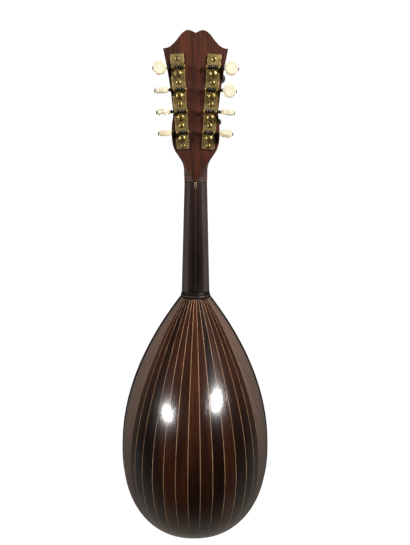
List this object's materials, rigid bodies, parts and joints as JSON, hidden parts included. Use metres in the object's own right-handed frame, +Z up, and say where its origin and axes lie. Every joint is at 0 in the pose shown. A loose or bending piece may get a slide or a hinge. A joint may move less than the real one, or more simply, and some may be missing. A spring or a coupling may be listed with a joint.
{
  "type": "neapolitan mandolin",
  "caption": "Bowl-back mandolin with ribbed rosewood bowl, bent spruce soundboard, oval sound hole, worm-geared tuning machines, floating bridge and paired strings.",
  "frame": {"origin": "on the centreline at the nut, level with the rim plane (the underside of the soundboard), where a hanger's yoke holds the instrument", "axes": "+Z up the neck to the head, +Y out of the soundboard towards the strings, +X to the bass side; the bowl's back faces -Y"},
  "size_m": [0.196, 0.1361, 0.6263],
  "materials": {
    "stave_wood": "gloss",
    "side_wood": "gloss",
    "head_wood": "satin",
    "face_veneer": "gloss",
    "neck_veneer": "gloss",
    "ebonised_trim": "satin",
    "fretboard_wood": "satin",
    "spruce": "satin",
    "inner_spruce": "matte",
    "willow": "matte",
    "bone": "satin",
    "rosette_inlay": "gloss",
    "guard_celluloid": "gloss",
    "bridge_wood": "satin",
    "plate_brass": "satin",
    "gear_brass": "satin",
    "shaft_steel": "satin",
    "ivory_celluloid": "satin",
    "tail_metal": "satin",
    "wound_string": "satin",
    "plain_string": "gloss"
  },
  "bodies": {
    "instrument": {"headstock": "head_wood", "head_veneer": "face_veneer", "neck": "neck_veneer", "heel_band": "ebonised_trim", "fretboard": "fretboard_wood", "nut": "bone", "soundboard": "spruce", "rosette": "rosette_inlay", "pickguard": "guard_celluloid", "brace_upper": "inner_spruce", "brace_middle": "inner_spruce", "brace_lower": "inner_spruce", "neck_block": "willow", "tail_block": "willow", "lining_left": "willow", "lining_right": "willow", "rim_binding": "ebonised_trim", "tail_clasp": "side_wood", "tailpiece": "tail_metal", "bowl_staves": "stave_wood", "side_rib_left": "side_wood", "side_rib_right": "side_wood", "machine_plate_left": "plate_brass", "machine_plate_right": "plate_brass", "string_g_1": "wound_string", "string_g_2": "wound_string", "string_d_1": "wound_string", "string_d_2": "wound_string", "string_a_1": "plain_string", "string_a_2": "plain_string", "string_e_1": "plain_string", "string_e_2": "plain_string"},
    "bridge": {"bridge_base": "bridge_wood", "bridge_saddle": "bone"},
    "tuner_left_1": {"worm_shaft_left_1": "shaft_steel", "button_left_1": "ivory_celluloid"},
    "post_left_1": {"gear_post_left_1": "gear_brass"},
    "tuner_left_2": {"worm_shaft_left_2": "shaft_steel", "button_left_2": "ivory_celluloid"},
    "post_left_2": {"gear_post_left_2": "gear_brass"},
    "tuner_left_3": {"worm_shaft_left_3": "shaft_steel", "button_left_3": "ivory_celluloid"},
    "post_left_3": {"gear_post_left_3": "gear_brass"},
    "tuner_left_4": {"worm_shaft_left_4": "shaft_steel", "button_left_4": "ivory_celluloid"},
    "post_left_4": {"gear_post_left_4": "gear_brass"},
    "tuner_right_1": {"worm_shaft_right_1": "shaft_steel", "button_right_1": "ivory_celluloid"},
    "post_right_1": {"gear_post_right_1": "gear_brass"},
    "tuner_right_2": {"worm_shaft_right_2": "shaft_steel", "button_right_2": "ivory_celluloid"},
    "post_right_2": {"gear_post_right_2": "gear_brass"},
    "tuner_right_3": {"worm_shaft_right_3": "shaft_steel", "button_right_3": "ivory_celluloid"},
    "post_right_3": {"gear_post_right_3": "gear_brass"},
    "tuner_right_4": {"worm_shaft_right_4": "shaft_steel", "button_right_4": "ivory_celluloid"},
    "post_right_4": {"gear_post_right_4": "gear_brass"}
  },
  "joints": [
    {"name": "bridge_slide", "type": "slide", "parent": "instrument", "child": "bridge", "axis": [0, 0, 1], "range_m": [-0.001, 0.003]},
    {"name": "tuner_turn_left_1", "type": "hinge", "parent": "instrument", "child": "tuner_left_1", "pos_m": [-0.02081, -0.05625, 0.1237], "axis": [0.9981, -0.0168, 0.0587], "continuous": true},
    {"name": "post_turn_left_1", "type": "hinge", "parent": "instrument", "child": "post_left_1", "pos_m": [-0.02037, -0.04988, 0.11815], "axis": [0, 0.9613, 0.2756], "continuous": true},
    {"name": "tuner_turn_left_2", "type": "hinge", "parent": "instrument", "child": "tuner_left_2", "pos_m": [-0.01936, -0.04973, 0.10094], "axis": [0.9981, -0.0168, 0.0587], "continuous": true},
    {"name": "post_turn_left_2", "type": "hinge", "parent": "instrument", "child": "post_left_2", "pos_m": [-0.01892, -0.04335, 0.09539], "axis": [0, 0.9613, 0.2756], "continuous": true},
    {"name": "tuner_turn_left_3", "type": "hinge", "parent": "instrument", "child": "tuner_left_3", "pos_m": [-0.01791, -0.0432, 0.07818], "axis": [0.9981, -0.0168, 0.0587], "continuous": true},
    {"name": "post_turn_left_3", "type": "hinge", "parent": "instrument", "child": "post_left_3", "pos_m": [-0.01748, -0.03683, 0.07264], "axis": [0, 0.9613, 0.2756], "continuous": true},
    {"name": "tuner_turn_left_4", "type": "hinge", "parent": "instrument", "child": "tuner_left_4", "pos_m": [-0.01646, -0.03668, 0.05542], "axis": [0.9981, -0.0168, 0.0587], "continuous": true},
    {"name": "post_turn_left_4", "type": "hinge", "parent": "instrument", "child": "post_left_4", "pos_m": [-0.01603, -0.0303, 0.04988], "axis": [0, 0.9613, 0.2756], "continuous": true},
    {"name": "tuner_turn_right_1", "type": "hinge", "parent": "instrument", "child": "tuner_right_1", "pos_m": [0.02081, -0.05625, 0.1237], "axis": [0.9981, 0.0168, -0.0587], "continuous": true},
    {"name": "post_turn_right_1", "type": "hinge", "parent": "instrument", "child": "post_right_1", "pos_m": [0.02037, -0.04988, 0.11815], "axis": [0, 0.9613, 0.2756], "continuous": true},
    {"name": "tuner_turn_right_2", "type": "hinge", "parent": "instrument", "child": "tuner_right_2", "pos_m": [0.01936, -0.04973, 0.10094], "axis": [0.9981, 0.0168, -0.0587], "continuous": true},
    {"name": "post_turn_right_2", "type": "hinge", "parent": "instrument", "child": "post_right_2", "pos_m": [0.01892, -0.04335, 0.09539], "axis": [0, 0.9613, 0.2756], "continuous": true},
    {"name": "tuner_turn_right_3", "type": "hinge", "parent": "instrument", "child": "tuner_right_3", "pos_m": [0.01791, -0.0432, 0.07818], "axis": [0.9981, 0.0168, -0.0587], "continuous": true},
    {"name": "post_turn_right_3", "type": "hinge", "parent": "instrument", "child": "post_right_3", "pos_m": [0.01748, -0.03683, 0.07264], "axis": [0, 0.9613, 0.2756], "continuous": true},
    {"name": "tuner_turn_right_4", "type": "hinge", "parent": "instrument", "child": "tuner_right_4", "pos_m": [0.01646, -0.03668, 0.05542], "axis": [0.9981, 0.0168, -0.0587], "continuous": true},
    {"name": "post_turn_right_4", "type": "hinge", "parent": "instrument", "child": "post_right_4", "pos_m": [0.01603, -0.0303, 0.04988], "axis": [0, 0.9613, 0.2756], "continuous": true}
  ],
  "couplings": [
    {"joint": "post_turn_left_1", "follows": "tuner_turn_left_1", "ratio": 0.071429},
    {"joint": "post_turn_left_2", "follows": "tuner_turn_left_2", "ratio": 0.071429},
    {"joint": "post_turn_left_3", "follows": "tuner_turn_left_3", "ratio": 0.071429},
    {"joint": "post_turn_left_4", "follows": "tuner_turn_left_4", "ratio": 0.071429},
    {"joint": "post_turn_right_1", "follows": "tuner_turn_right_1", "ratio": -0.071429},
    {"joint": "post_turn_right_2", "follows": "tuner_turn_right_2", "ratio": -0.071429},
    {"joint": "post_turn_right_3", "follows": "tuner_turn_right_3", "ratio": -0.071429},
    {"joint": "post_turn_right_4", "follows": "tuner_turn_right_4", "ratio": -0.071429}
  ]
}
